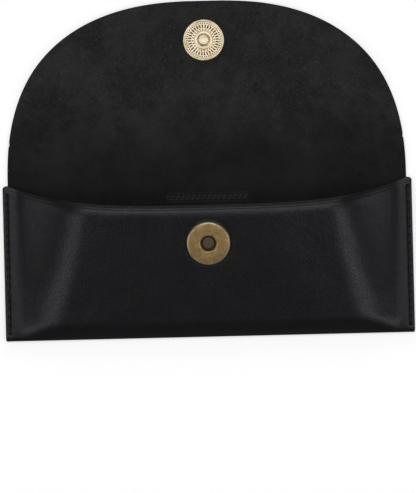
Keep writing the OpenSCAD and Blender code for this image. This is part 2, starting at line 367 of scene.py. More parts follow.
# %% Rough side
def rough_leather():
    paint = Paint(
        "rough_black_leather",
        {"Roughness": 0.95, "Specular IOR Level": 0.08, "Sheen Weight": 0.02, "Sheen Roughness": 0.5},
    )
    clouds = paint.noise(26 * MM, 3)
    patches = paint.noise(5 * MM, 5, 0.65)
    fibres = paint.noise(0.55 * MM, 4, 0.7)
    specks = paint.noise(0.9 * MM, 3, 0.6).between(0.58, 0.72)
    split = paint.node("ShaderNodeSeparateXYZ", {}, {"Vector": paint.place}, "Y")
    # Painted shade: near the mouth the suede is mixed towards a darker copy of itself, fully at y = -4
    # mm and fading out by 36 mm, where the front's bulge shades the flap. The copy away from the mouth
    # keeps the pale specks.
    out_of_painted_shade = (split + (clouds - 0.5) * 0.03).between(-4 * MM, 36 * MM)
    shade = (clouds * 0.5 + patches * 0.5).between(0.38, 0.62)
    dyed = paint.mix(shade, grey(0.0180), grey(0.0370))
    worn = paint.mix(fibres.between(0.35, 0.75) * 0.5, dyed, grey(0.070))
    unshaded_with_specks = paint.mix(specks * 0.45, worn, grey(0.115))
    painted_shade_copy = paint.mix(0.6, worn, grey(0.0110))
    tooled = paint.node("ShaderNodeAttribute", {"attribute_name": "tooled"}, {}, "Fac")
    suede = paint.mix(out_of_painted_shade, painted_shade_copy, unshaded_with_specks)
    paint.feed("Base Color", paint.mix(tooled * 0.85, suede, grey(0.075)))
    height = fibres * 0.5 + patches * 0.3 + paint.cells(0.8 * MM, "F1") * 0.4
    paint.feed("Normal", paint.bump(height, 0.22 * MM))
    return paint.material


ROUGH = rough_leather()
print("made", ROUGH.name)

# %% [markdown]
# ## Edge paint and thread
# The cut edges are sealed with black edge paint, which dries to a rounded, faintly wavy,
# half-glossy skin. The thread is waxed black polyester: two plies twisted together, with a
# soft shine along the top of each ply.


# %% Edge paint and thread
def edge_paint():
    paint = Paint("black_edge_paint", {"Specular IOR Level": 0.5})
    waves = paint.noise(1.6 * MM, 3)
    paint.feed("Base Color", paint.mix(waves, grey(0.003), grey(0.006)))
    paint.feed("Roughness", 0.34 + waves * 0.2)
    paint.feed("Normal", paint.bump(waves, 0.08 * MM))
    return paint.material


def waxed_thread():
    paint = Paint("waxed_black_thread", {"Specular IOR Level": 0.5, "Sheen Weight": 0.1})
    fibres = paint.noise(0.12 * MM, 3, 0.6, paint.stretched((1, 0.25, 1)))
    paint.feed("Base Color", paint.mix(fibres, grey(0.006), grey(0.022)))
    paint.feed("Roughness", 0.42 + fibres * 0.25)
    paint.feed("Normal", paint.bump(fibres, 0.03 * MM))
    return paint.material


EDGE = edge_paint()
THREAD = waxed_thread()
print("made", EDGE.name, "and", THREAD.name)

# %% [markdown]
# ## Two finishes of brass
# The socket is antique brass: a brown lacquer, brushed in circles round the hole, and paler and
# smoother on the rims, the paleness a painted highlight where the rounded edge catches the light.
# The plug is a pale gold plate with a fine pitted skin. Both are metal, so their colour is the
# colour of their reflections. The brushing is noise in polar coordinates round the centre of
# each half, so that it runs round and not across.


# %% Brass
ROUND_STRETCH = 0.6 * MM


def ringed(paint, centre, tilt):
    """How far a point is from the snap's middle, in metres, and a place that runs round it."""
    moved = paint.node(
        "ShaderNodeMapping",
        {"vector_type": "TEXTURE"},
        {"Vector": paint.place, "Location": centre, "Rotation": (tilt, 0, 0)},
        "Vector",
    )
    split = paint.node("ShaderNodeSeparateXYZ", {}, {"Vector": moved}, "X")
    across, up, height = (Value(paint, split.socket.node.outputs[axis]) for axis in "XYZ")
    far = (across * across + up * up) ** 0.5
    angle = paint.node("ShaderNodeMath", {"operation": "ARCTAN2"}, {0: up, 1: across})
    turned_place = {"X": far, "Y": angle * ROUND_STRETCH, "Z": height}
    return far, paint.node("ShaderNodeCombineXYZ", {}, turned_place, "Vector")


def antique_brass(centre, tilt):
    paint = Paint("lacquered_antique_brass", {"Metallic": 0.85})
    far, polar = ringed(paint, centre, tilt)
    brushed = paint.noise(0.12 * MM, 4, 0.6, polar)
    blotches = paint.noise(2.2 * MM, 4, 0.6)
    # Painted highlight: the rounded outer rim is painted paler where its edge catches the light, and it
    # is also made smoother.
    painted_rim_highlight = far.between(8.3 * MM, 8.7 * MM)
    lacquer = (blotches * 0.6 + brushed * 0.4).between(0.3, 0.7)
    face = paint.mix(lacquer, (0.37, 0.235, 0.090, 1), (0.63, 0.445, 0.205, 1))
    paint.feed("Base Color", paint.mix(painted_rim_highlight * 0.85, face, (0.80, 0.68, 0.48, 1)))
    paint.feed("Roughness", 0.34 + blotches * 0.16 - painted_rim_highlight * 0.12)
    paint.feed("Normal", paint.bump(brushed * 0.7 + blotches * 0.3, 0.012 * MM))
    return paint.material


def pale_brass():
    paint = Paint("pale_gold_plate", {"Metallic": 1.0})
    pits = paint.noise(0.35 * MM, 4, 0.65)
    blotches = paint.noise(2.0 * MM, 4, 0.6)
    tint = paint.mix(blotches.between(0.35, 0.65), (0.84, 0.67, 0.40, 1), (0.95, 0.85, 0.66, 1))
    paint.feed("Base Color", paint.mix(pits.between(0.52, 0.72) * 0.5, tint, (0.42, 0.31, 0.18, 1)))
    paint.feed("Roughness", 0.26 + pits * 0.25)
    paint.feed("Normal", paint.bump(pits, 0.02 * MM))
    return paint.material


def plated_steel():
    paint = Paint("dull_plated_steel", {"Metallic": 1.0})
    brushed = paint.noise(0.2 * MM, 3, 0.6)
    paint.feed("Base Color", paint.mix(brushed, (0.10, 0.075, 0.045, 1), (0.26, 0.20, 0.13, 1)))
    paint.feed("Roughness", 0.4 + brushed * 0.2)
    paint.feed("Normal", paint.bump(brushed, 0.01 * MM))
    return paint.material


# Painted shade: a dark brown second material that stands for the shade down in the hollows of the snap.
def hollow_shade():
    paint = Paint("painted_shade_in_the_hollows", {"Specular IOR Level": 0.3})
    shade_mottle = paint.noise(0.25 * MM, 3)
    paint.feed("Base Color", paint.mix(shade_mottle, (0.020, 0.014, 0.008, 1), (0.10, 0.072, 0.042, 1)))
    paint.feed("Roughness", 0.55 + shade_mottle * 0.3)
    return paint.material


def ferrite():
    paint = Paint("black_ferrite", {"Specular IOR Level": 0.4})
    grain = paint.noise(0.3 * MM, 3)
    paint.feed("Base Color", paint.mix(grain, grey(0.02), grey(0.05)))
    paint.feed("Roughness", 0.55 + grain * 0.2)
    paint.feed("Normal", paint.bump(grain, 0.02 * MM))
    return paint.material


# %% [markdown]
# ## The shape of the pocket
# Leather hardly stretches, so an open pocket isn't a round bulge. Its front is a nearly flat
# sloping panel that rises from the bottom fold to the mouth, with a soft shoulder on each side
# where the leather turns down to the seam. The shoulders start at the bottom corners and
# spread towards the mouth. The formula below is the CAD model's own, so apart from the softer
# margin the leather lies where its collision solid is. It stays flat where the snap is riveted.


# %% Front surface
def smooth_step(share):
    share = max(0.0, min(1.0, share))
    return share * share * (3 - 2 * share)


FRONT_RISE = BULGE_H - 2 * LEATHER
DOME_HALF = HALF_W - MARGIN_W


def from_seam(far, s):
    """The distance from the seam, with the leather's curve beside the stitches taken off."""
    fillet = SEAM_FILLET + (MOUTH_FILLET - SEAM_FILLET) * s
    return far * far / (far + 2 * fillet)


def side_share(x, s):
    """0 at the seam, a straight side up to the ridge, and 1 on the front, softly joined."""
    far = max(0.0, DOME_HALF - abs(x))
    ridge = RIDGE_FOOT + (RIDGE_MOUTH - RIDGE_FOOT) * max(0.0, s) ** RIDGE_SPREAD
    share = from_seam(far, s) / from_seam(ridge, s)
    softness = RIDGE_SOFTNESS + (MOUTH_SOFTNESS - RIDGE_SOFTNESS) * s
    overlap = max(0.0, softness - abs(share - 1)) / softness
    return min(share, 1.0) - overlap * overlap * softness / 4


def corner_drop(x):
    over = max(0.0, abs(x) - (HALF_W - CORNER_R))
    return CORNER_R - math.sqrt(max(0.0, CORNER_R**2 - over**2))


def mouth_height(x):
    """How far the mouth is above the bottom fold."""
    dip = 1 - min(1.0, abs(x) / DOME_HALF) ** MOUTH_CURVE
    return POUCH_H - corner_drop(x) - MOUTH_DIP * dip


def rise(s):
    """Most of the height is gained evenly, and some of it in a rounder curve just above the fold."""
    near_fold = 1 - (1 - min(1.0, s / FOLD_REACH)) ** 2
    return FOLD_FULLNESS * near_fold + (1 - FOLD_FULLNESS) * s


def fold_angle(x):
    """The angle at which the front leaves the bottom fold."""
    slope = 1 - FOLD_FULLNESS + 2 * FOLD_FULLNESS / FOLD_REACH
    return math.atan(slope * FRONT_RISE * side_share(x, 0) / (mouth_height(x) - LEATHER))


def bare_front(x, s):
    """A point of the front's outer face, before it is flattened round the snap."""
    angle = fold_angle(x)
    start = LEATHER - LEATHER * math.sin(angle)
    y = start + (mouth_height(x) - start) * s
    z = LEATHER + LEATHER * math.cos(angle) + FRONT_RISE * side_share(x, s) * rise(s)
    return y, z


socket_start = bare_front(0, 0)[0]
socket_s = (SOCKET_Y - BOTTOM_Y - socket_start) / (mouth_height(0) - socket_start)
TILT = math.atan((1 - FOLD_FULLNESS) * FRONT_RISE / (mouth_height(0) - socket_start))
SOCKET_CENTRE = Vector((0, SOCKET_Y, bare_front(0, socket_s)[1]))


def front_point(x, s):
    """A point of the front's outer face: s is 0 at the bottom fold and 1 at the mouth."""
    y, z = bare_front(x, s)
    y += BOTTOM_Y
    far = math.hypot(x, y - SOCKET_Y)
    flat = 1 - smooth_step((far - FLAT_R) / FLAT_FADE)
    seat = SOCKET_CENTRE.z + (y - SOCKET_Y) * math.tan(TILT)
    return Vector((x, y, z * (1 - flat) + seat * flat))


print(f"socket at {SOCKET_CENTRE.z * 1000:.2f} mm, tilted {math.degrees(TILT):.2f} degrees")
print("CAD cup, low and high:", [round(v * 1000, 2) for v in (*cup_low, *cup_high)])

# %% [markdown]
# ## The pattern of the hide
# A maker cuts the whole case from one flat piece, and so does this cell. A grid primitive is
# the cut piece: its length runs from the mouth of the front, round the bottom fold, up the back
# and out along the flap. Its columns are close together along the stitch lines and where the
# back is tooled, and its rows where the mouth, the folds and the shoulders of the outline are.
# The flap hinges twice, and a piece can bend over one hinge only, so the hide is made in two
# halves that meet, with no gap, in the middle of the straight part between the hinges.


# %% Cut the flat hide
def steps(start, end, size):
    """Evenly spaced numbers from start to end, about this far apart, with both ends."""
    count = max(1, round(abs(end - start) / size))
    return [start + (end - start) * i / count for i in range(count + 1)]


def joined(*runs):
    """Several runs of numbers as one, each starting where the last one ended."""
    whole = list(runs[0])
    for run in runs[1:]:
        whole += run[1:]
    return whole


def cut_grid(name, across, along):
    """A flat grid primitive whose columns and rows are moved to the given places."""
    deselect()
    bpy.ops.mesh.primitive_grid_add(
        x_subdivisions=len(across) - 1, y_subdivisions=len(along) - 1, size=1, location=(0, 0, 0)
    )
    made = bpy.context.object
    made.name = name
    for vertex in made.data.vertices:
        column = round((vertex.co.x + 0.5) * (len(across) - 1))
        row = round((vertex.co.y + 0.5) * (len(along) - 1))
        vertex.co = (across[column], along[row], 0)
    return made


BULGE_EDGE = 0.35 * MM
EDGE_X = HALF_W - BULGE_EDGE
FOLD_RUN = math.pi * LEATHER
FRONT_RUN = POUCH_H - LEATHER
SEAM_STRIP_X = 82.6 * MM
seam_side = [83.2, 83.6, 83.85, 84.03, 84.2, 84.37, 84.55, 84.8, 85.2]
half_across = steps(0, SEAM_STRIP_X, 1.7 * MM) + [x * MM for x in seam_side] + [EDGE_X]
across = [-x for x in reversed(half_across[1:])] + half_across
mouth_rows = [0, 0.35, 0.7, 1.0, 1.25, 1.45, 1.65, 1.85, 2.1, 2.5, 3.1, 3.9]
back_top = POUCH_H - LEATHER
along = joined(
    [-FOLD_RUN - FRONT_RUN + d * MM for d in mouth_rows],
    steps(-FOLD_RUN - FRONT_RUN + 3.9 * MM, -FOLD_RUN, 0.95 * MM),
    steps(-FOLD_RUN, 0, FOLD_RUN / 10),
    steps(0, back_top - 10 * MM, 1.1 * MM),
    steps(back_top - 10 * MM, back_top - 2.2 * MM, 0.5 * MM),
    steps(back_top - 2.2 * MM, back_top + 0.6 * MM, 0.28 * MM),
    steps(back_top + 0.6 * MM, SPLIT_Y - BOTTOM_Y - LEATHER, 1.0 * MM),
)
pouch_hide = cut_grid("hide_pouch", across, along)
print("pattern:", len(across), "columns and", len(along), "rows")

# %% [markdown]
# Between the stitch lines and the cut edge the rows are still too far apart to dent the leather
# at each hole. Subdivide adds rows only to the edges that are selected, so only the strips
# along the two seams get more, which keeps the rest of the hide light.


# %% Finer rows along the seams
def select_edges(item, wanted):
    """Edit mode with only the wanted edges selected. The caller runs its operator next."""
    activate(item)
    bpy.ops.object.mode_set(mode="EDIT")
    bpy.ops.mesh.select_mode(type="EDGE")
    bpy.ops.mesh.select_all(action="DESELECT")
    mesh = bmesh.from_edit_mesh(item.data)
    for edge in mesh.edges:
        if wanted(edge):
            edge.select_set(True)
    bmesh.update_edit_mesh(item.data)
    return sum(edge.select for edge in mesh.edges)


def turn_over(item):
    """Flips the normals of a whole sheet."""
    select_edges(item, lambda edge: False)
    bpy.ops.mesh.select_all(action="SELECT")
    bpy.ops.mesh.flip_normals()
    bpy.ops.object.mode_set(mode="OBJECT")


def in_seam_strip(edge):
    first, second = (vertex.co for vertex in edge.verts)
    runs_up = abs(first.x - second.x) < 1e-6
    in_strip = abs(first.x) > SEAM_STRIP_X
    in_seam = max(first.y, second.y) < back_top - 3 * MM
    off_fold = max(first.y, second.y) <= -FOLD_RUN + 1e-6 or min(first.y, second.y) >= -1e-6
    return runs_up and in_strip and in_seam and off_fold


count = select_edges(pouch_hide, in_seam_strip)
bpy.ops.mesh.subdivide(number_cuts=1)
bpy.ops.object.mode_set(mode="OBJECT")
print("seam strips: split", count, "edges; now", len(pouch_hide.data.polygons), "faces")

# %% [markdown]
# A plain row of tooled marks decorates the inside of the back, just above the mouth. The pattern
# gets smaller squares there, so that the marks can be pressed in later.


# %% Finer squares for the tooled row
TOOLED_Y = SEAM_TOP_Y - 6 * MM
TOOLED_HALF = 17.3 * MM
TOOLED_REACH = 3.2 * MM


def in_tooled_row(edge):
    row = TOOLED_Y - BOTTOM_Y - LEATHER
    return all(abs(v.co.x) < 20 * MM and abs(v.co.y - row) < TOOLED_REACH for v in edge.verts)


count = select_edges(pouch_hide, in_tooled_row)
bpy.ops.mesh.subdivide(number_cuts=3)
bpy.ops.object.mode_set(mode="OBJECT")
print("tooled row: split", count, "edges; now", len(pouch_hide.data.polygons), "faces")

# %% [markdown]
# Now the pattern is folded. Each vertex goes from its place on the flat pattern to its place on
# the case: on the front's curved surface, round the bottom fold, or flat on the back, where the
# outline narrows to the flap. The grid then faces the inside of the pocket, so its normals are
# flipped to the outside.


# %% Fold the hide
FLAP_HALF = FLAP_W / 2


def flap_half(y):
    """The flap's half width at this height, up to the cut edge's own bulge."""
    share = max(0.0, min(1.0, (y - SEAM_TOP_Y) / (FLAP_LEN - BULGE_EDGE)))
    return (FLAP_HALF - BULGE_EDGE) * (1 - share**FLAP_FULLNESS) ** (1 / FLAP_FULLNESS)


def back_half(y):
    """The half width of the back: full along the seams, round at their tops, then the flap's."""
    below = SEAM_TOP_Y - y
    if below >= CORNER_R:
        return EDGE_X
    if below >= 0:
        return EDGE_X - CORNER_R + math.sqrt(CORNER_R**2 - (CORNER_R - below) ** 2)
    return flap_half(y)


def lift(x, y):
    """The flap doesn't lie quite flat on the table. It does at the snap and at the folds."""
    from_snap = smooth_step((math.hypot(x, y - PLUG_CENTRE.y) - 13 * MM) / (16 * MM))
    from_fold = smooth_step((y - TOP_FOLD_Y + 4 * MM) / (22 * MM))
    wave = 0.5 + 0.5 * noise.noise(Vector((x / (34 * MM), y / (26 * MM), 4.7)))
    edge = smooth_step((math.hypot(x / 1.15, y - SEAM_TOP_Y) - 52 * MM) / (24 * MM))
    return from_fold * (from_snap * 0.7 * MM * wave + edge * 0.9 * MM)


def front_wobble(x, s):
    """Hand-made leather isn't a perfect surface: soft dents a few tenths of a millimetre deep."""
    y = front_point(x, s).y
    off_snap = smooth_step((math.hypot(x, y - SOCKET_Y) - 12 * MM) / (12 * MM))
    free = side_share(x, s) * smooth_step(s / 0.12) * off_snap
    broad = noise.noise(Vector((x / (26 * MM), y / (30 * MM), 1.3)))
    small = noise.noise(Vector((x / (9 * MM), y / (11 * MM), 8.1)))
    return free * (broad * 0.45 + small * 0.10) * MM


def mouth_roll(x, s):
    """Nothing holds the leather up at the mouth, so its last few millimetres roll down."""
    edge = max(0.0, 1 - (1 - s) * FRONT_RUN / (6 * MM))
    return 1.5 * MM * edge * edge * side_share(x, s)


def folded(x, v):
    """Where a point of the flat pattern lies on the case."""
    if v >= 0:
        y = BOTTOM_Y + LEATHER + v
        anchor = 70 * MM
        half = back_half(y)
        if abs(x) > anchor:
            share = (abs(x) - anchor) / (EDGE_X - anchor)
            x = math.copysign(anchor + share * (half - anchor), x)
        return Vector((x, y, 0))
    if v > -FOLD_RUN:
        angle = math.pi * 1.5 - (math.pi - fold_angle(x)) * (-v / FOLD_RUN)
        y = BOTTOM_Y + LEATHER + LEATHER * math.cos(angle)
        return Vector((x, y, LEATHER + LEATHER * math.sin(angle)))
    s = min(1.0, (-FOLD_RUN - v) / FRONT_RUN)
    point = front_point(x, s)
    point.z += front_wobble(x, s) - mouth_roll(x, s)
    return point


for vertex in pouch_hide.data.vertices:
    vertex.co = folded(vertex.co.x, vertex.co.y)
turn_over(pouch_hide)
print("folded, highest point", round(max(v.co.z for v in pouch_hide.data.vertices) * 1000, 2), "mm")

# %% [markdown]
# Solidify gives the sheet its thickness, towards the inside, and puts the rough side and the
# cut edge on their own material slots. Its edge is a flat strip, but a real cut edge is rubbed
# round and painted. So the short edges across that strip are subdivided, and the new rings
# are moved out to a half round.


# %% Thickness and rounded edges
def thicken(item, thickness):
    item.data.materials.clear()
    for material in (SMOOTH, ROUGH, EDGE):
        item.data.materials.append(material)
    wall = item.modifiers.new("wall", "SOLIDIFY")
    wall.thickness = thickness
    wall.offset = -1
    wall.material_offset = 1
    wall.material_offset_rim = 2
    activate(item)
    bpy.ops.object.modifier_apply(modifier="wall")


STRAIGHT = 0.9


def neighbours(vertex):
    return [edge.other_vert(vertex) for edge in vertex.link_edges]


def round_edge(item, outer_count, cuts=5):
    """Turns the flat cut edge into a half round. The first outer_count vertices are the outer layer."""
    first_new = len(item.data.vertices)

    def crosses_edge(edge):
        low, high = sorted(vertex.index for vertex in edge.verts)
        return low < outer_count <= high

    select_edges(item, crosses_edge)
    bpy.ops.mesh.subdivide(number_cuts=cuts)
    bpy.ops.object.mode_set(mode="OBJECT")
    mesh = bmesh.new()
    mesh.from_mesh(item.data)
    mesh.verts.ensure_lookup_table()
    mesh.normal_update()
    moved = {}
    for vertex in mesh.verts:
        rings = [other for other in neighbours(vertex) if other.index >= first_new]
        if vertex.index >= outer_count or not rings:
            continue
        chain, before, here = [], vertex, rings[0]
        while here.index >= first_new:
            chain.append(here)
            course = (here.co - before.co).normalized()
            onward = [
                other
                for other in neighbours(here)
                if other not in (before, *chain)
                and abs((other.co - here.co).normalized().dot(course)) > STRAIGHT
            ]
            before, here = here, onward[0]
        outward = Vector()
        for link in chain:
            outward += link.normal
        outward.normalize()
        at_split = abs(vertex.co.y - SPLIT_Y) < 1e-6
        for step, link in enumerate(chain, 1):
            angle = math.pi * step / (len(chain) + 1)
            share = (1 - math.cos(angle)) / 2
            place = vertex.co.lerp(here.co, share)
            moved[link.index] = place if at_split else place + outward * BULGE_EDGE * math.sin(angle)
    for index, place in moved.items():
        mesh.verts[index].co = place
    mesh.to_mesh(item.data)
    mesh.free()
    return len(moved)


outer_count = len(pouch_hide.data.vertices)
WALL = LEATHER - 0.05 * MM
thicken(pouch_hide, WALL)
print("edge vertices rounded:", round_edge(pouch_hide, outer_count))

# %% [markdown]
# The thread is pulled tight, so it lies in a shallow channel and each hole is a small dent. A
# hot iron has drawn a crease along the mouth. Both are pressed into the outer face only, and so
# is the seat that the snap is riveted into.


# %% Press the channel, the holes, the crease and the seats
FIRST_HOLE = 3.6 * MM
HOLES = [BOTTOM_Y + FIRST_HOLE + STITCH_PITCH * i for i in range(STITCH_COUNT + 1)]
CHANNEL = 0.30 * MM
FRONT_ABOVE = 2.5 * MM


def bell(distance, width):
    return math.exp(-((distance / width) ** 2))


def seam_dent(x, y):
    """How deep the stitch channel is here, with its holes."""
    if abs(x) < SEAM_STRIP_X or not HOLES[0] - 2 * MM < y < HOLES[-1] + 2 * MM:
        return 0.0
    aside = abs(x) - STITCH_X
    ends = smooth_step((y - HOLES[0] + 1.2 * MM) / MM) * smooth_step((HOLES[-1] + 1.2 * MM - y) / MM)
    near = min(HOLES, key=lambda hole: abs(hole - y))
    hole = bell(math.hypot(aside, y - near), 0.5 * MM)
    pucker = 0.10 * MM * (0.5 + 0.5 * math.cos(2 * math.pi * (y - HOLES[0]) / STITCH_PITCH))
    return ends * ((CHANNEL + pucker) * bell(aside, 0.48 * MM) + 0.45 * MM * hole)


def crease(s):
    """The line that is ironed along the mouth, and the lip outside it."""
    edge = (1 - s) * FRONT_RUN
    lip = max(0.0, 1 - edge / (1.75 * MM))
    return 0.07 * MM * bell(edge - 1.7 * MM, 0.28 * MM) + 0.12 * MM * lip**1.6


def seat(distance, radius):
    """The shallow hollow that a riveted part is pressed into."""
    return 0.3 * MM * (1 - smooth_step((distance - radius) / (1.1 * MM)))


outer = pouch_hide.data.vertices[:outer_count]
normals = [vertex.normal.copy() for vertex in outer]
for vertex, normal in zip(outer, normals):
    place = vertex.co
    depth = seam_dent(place.x, place.y) if place.y < SEAM_TOP_Y else 0.0
    if normal.z > 0.2 and place.z > FRONT_ABOVE:
        bottom = bare_front(place.x, 0)[0] + BOTTOM_Y
        s = (place.y - bottom) / (mouth_height(place.x) + BOTTOM_Y - bottom)
        depth += crease(max(0.0, min(1.0, s)))
        across_seat = math.hypot(place.x, (place.y - SOCKET_Y) / math.cos(TILT))
        depth += seat(across_seat, 9.0 * MM)
    vertex.co = place - normal * depth
print("pressed", len(outer), "outer vertices")

# %% [markdown]
# The tooled row is pressed into the other layer, the rough side. It is a plain repeat: one
# slanted bar and one dot, over and over, between two thin lines.


# %% Press the tooled row
TOOL_DEPTH = 0.34 * MM
TOOL_PITCH = 2.2 * MM


def tooled_depth(x, y):
    up = y - TOOLED_Y
    ends = smooth_step((TOOLED_HALF - abs(x)) / (0.6 * MM))
    lines = bell(abs(up) - 1.75 * MM, 0.24 * MM)
    beat = (x / TOOL_PITCH) % 1.0
    bar = bell(abs((beat - 0.30) * TOOL_PITCH - 0.35 * up), 0.32 * MM)
    bar *= smooth_step((1.25 * MM - abs(up)) / (0.3 * MM))
    dot = bell(math.hypot((beat - 0.80) * TOOL_PITCH, abs(up) - 0.55 * MM), 0.30 * MM)
    return ends * TOOL_DEPTH * min(1.0, lines * 0.3 + bar + dot)


tooled = 0
burnished = pouch_hide.data.attributes.new("tooled", "FLOAT", "POINT")
for vertex in pouch_hide.data.vertices[outer_count : 2 * outer_count]:
    if vertex.co.z < FRONT_ABOVE and abs(vertex.co.y - TOOLED_Y) < TOOLED_REACH:
        depth = tooled_depth(vertex.co.x, vertex.co.y)
        vertex.co.z -= depth
        burnished.data[vertex.index].value = depth / TOOL_DEPTH
        tooled += depth > 0.05 * MM
print("tooled", tooled, "vertices")

# %% [markdown]
# ## The flap
# The other half of the hide runs from between the two hinges to the round tip. Its grid is
# squeezed to the outline row by row: every row of the grid becomes a straight row across the
# flap, as wide as the outline is there. The rows follow the outline in even steps, so they come
# closer together near the tip, where the outline turns across them.


# %% Cut and shape the flap
def outline_rows(size):
    """Heights from the split to the tip, an even step along the outline apart."""
    fine = steps(SPLIT_Y, TIP_Y - BULGE_EDGE - 0.01 * MM, 0.02 * MM)
    rows, walked, last = [fine[0]], 0.0, (flap_half(fine[0]), fine[0])
    for y in fine[1:]:
        here = (flap_half(y), y)
        walked += math.dist(here, last)
        last = here
        if walked >= size:
            rows.append(y)
            walked = 0.0
    return rows


rows = outline_rows(1.25 * MM)
while flap_half(rows[-1]) < 7 * MM:
    rows.pop()
flap_hide = cut_grid("hide_flap", steps(-1, 1, 1 / 66), rows)


def near_plug(edge):
    return all(
        math.hypot(v.co.x * flap_half(v.co.y), v.co.y - PLUG_CENTRE.y) < 13 * MM for v in edge.verts
    )


count = select_edges(flap_hide, near_plug)
bpy.ops.mesh.subdivide(number_cuts=2)
bpy.ops.object.mode_set(mode="OBJECT")
for vertex in flap_hide.data.vertices:
    x = vertex.co.x * flap_half(vertex.co.y)
    vertex.co = (x, vertex.co.y, lift(x, vertex.co.y))
turn_over(flap_hide)
outer_count = len(flap_hide.data.vertices)
thicken(flap_hide, WALL)
round_edge(flap_hide, outer_count)
print("flap:", len(rows), "rows,", len(flap_hide.data.polygons), "faces")

# %% [markdown]
# On the flap the two layers of one sheet are dented from both sides. The rivet's head is sunk
# into the smooth side, so that the flap still lies flat, and the disc of the snap is drawn a
# little way into the rough side.

# %% Seat the plug in the flap
HEAD_R = 5 * MM
HEAD_SINK = 0.62 * MM
DISC_R = 8.7 * MM
for index, vertex in enumerate(flap_hide.data.vertices):
    far = math.hypot(vertex.co.x, vertex.co.y - PLUG_CENTRE.y)
    if index < outer_count:
        vertex.co.z += HEAD_SINK * (1 - smooth_step((far - HEAD_R - 0.1 * MM) / (0.9 * MM)))
    elif index < 2 * outer_count:
        vertex.co.z -= seat(far, DISC_R)


def finish_soft(item):
    """Smooth shading, apart from real corners."""
    activate(item)
    bpy.ops.object.shade_smooth_by_angle(angle=math.radians(50))
    item.data.update()


for item in (pouch_hide, flap_hide):
    finish_soft(item)
    triangles = sum(len(face.vertices) - 2 for face in item.data.polygons)
    print(item.name, triangles, "triangles")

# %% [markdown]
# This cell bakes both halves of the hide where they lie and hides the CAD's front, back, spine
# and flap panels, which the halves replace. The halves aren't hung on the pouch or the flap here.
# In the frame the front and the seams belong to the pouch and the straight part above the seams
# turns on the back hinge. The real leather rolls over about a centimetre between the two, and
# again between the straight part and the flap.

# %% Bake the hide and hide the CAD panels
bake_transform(pouch_hide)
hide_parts("front_panel", "back_panel", "flap_spine")
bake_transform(flap_hide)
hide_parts("flap_panel")
flap_area = sum(
    (flap_half(a) + flap_half(b)) * (b - a) for a, b in zip(rows[:-1], rows[1:])
)
2 * flap_half(SPLIT_Y)
print("flap area", round(flap_area * 1e4, 1), "cm2")

# %% [markdown]
# ## The stitches
# Each side seam is a saddle stitch: two plies of waxed thread, twisted together, that dive into
# a hole every 3.4 mm, on the front and on the back. One stitch is made from two thin cylinders,
# which the Simple Deform modifier twists round each other, and its ends are then bent down into
# the holes. It is copied along both seams, with every other copy turned round a little, because
# thread never lies the same way twice.


# %% One twisted stitch
PLY_R = 0.215 * MM
DIVE = 0.75 * MM
DIVE_DEPTH = 0.62 * MM


def runs_along(edge):
    return abs(edge.verts[0].co.z - edge.verts[1].co.z) > MM


def twisted_stitch():
    deselect()
    for side in (-1, 1):
        bpy.ops.mesh.primitive_cylinder_add(
            vertices=7, radius=PLY_R, depth=STITCH_PITCH, location=(side * 0.135 * MM, 0, 0)
        )
        select_edges(bpy.context.object, runs_along)
        bpy.ops.mesh.subdivide(number_cuts=11)
        bpy.ops.object.mode_set(mode="OBJECT")
    plies = [item for item in bpy.context.scene.objects if item.name.startswith("Cylinder")]
    deselect()
    for ply in plies:
        ply.select_set(True)
    bpy.context.view_layer.objects.active = plies[0]
    bpy.ops.object.transform_apply(location=True, rotation=True, scale=True)
    bpy.ops.object.join()
    stitch = bpy.context.object
    twist = stitch.modifiers.new("twist", "SIMPLE_DEFORM")
    twist.deform_method = "TWIST"
    twist.deform_axis = "Z"
    twist.angle = math.radians(560)
    bpy.ops.object.modifier_apply(modifier="twist")
    bpy.ops.object.shade_smooth_by_angle(angle=math.radians(60))
    stitch.name = "one_stitch"
    return stitch


one_stitch = twisted_stitch()
stitch_half = STITCH_PITCH / 2
shape = []
for vertex in one_stitch.data.vertices:
    x, y, z = vertex.co
    near_end = max(0.0, (abs(z) - stitch_half + DIVE) / DIVE)
    thin = 1 - 0.25 * near_end**2
    sunk = DIVE_DEPTH * near_end**2.2
    shape.append((x * thin, z * (1 - 0.05 * near_end), y * thin - sunk))
print("one stitch:", len(one_stitch.data.polygons), "faces")

# %% [markdown]
# Copies of a mesh could share it, but each side's stitches become one piece, so they're joined:
# one object for each seam, as in the CAD model, riding on the pouch.


# %% Sew both seams
def sewn_seam(name, x, turned_node):
    parts = []
    for i in range(STITCH_COUNT):
        middle = (HOLES[i] + HOLES[i + 1]) / 2
        for face, z in ((1, 2 * LEATHER), (-1, 0.4 * MM)):
            mesh = one_stitch.data.copy()
            spin = 0.9 * noise.noise(Vector((i * 3.1, face * 5.0, x * 90)))
            slant = math.radians(3.0) * noise.noise(Vector((i * 2.3, face * 7.0, x * 50)))
            for vertex, (u, v, w) in zip(mesh.vertices, shape):
                side = u * math.cos(spin) - w * math.sin(spin) if abs(v) < stitch_half - DIVE else u
                place = Matrix.Rotation(slant, 3, "Z") @ Vector((side, v, w))
                vertex.co = (x + place.x, middle + place.y, z + face * place.z)
            if face < 0:
                mesh.flip_normals()
            item = bpy.data.objects.new("stitch", mesh)
            scene.collection.objects.link(item)
            parts.append(item)
    deselect()
    for item in parts:
        item.select_set(True)
    bpy.context.view_layer.objects.active = parts[0]
    bpy.ops.object.join()
    seam = bpy.context.object
    seam.name = name
    seam.data.materials.clear()
    seam.data.materials.append(THREAD)
    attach(seam, "pouch")
    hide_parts(turned_node)
    return seam


left_stitches = sewn_seam("left_stitches", -STITCH_X, "left_seam_thread")
right_stitches = sewn_seam("right_stitches", STITCH_X, "right_seam_thread")
bpy.data.objects.remove(one_stitch)
print("stitches:", len(left_stitches.data.polygons) * 2, "faces")

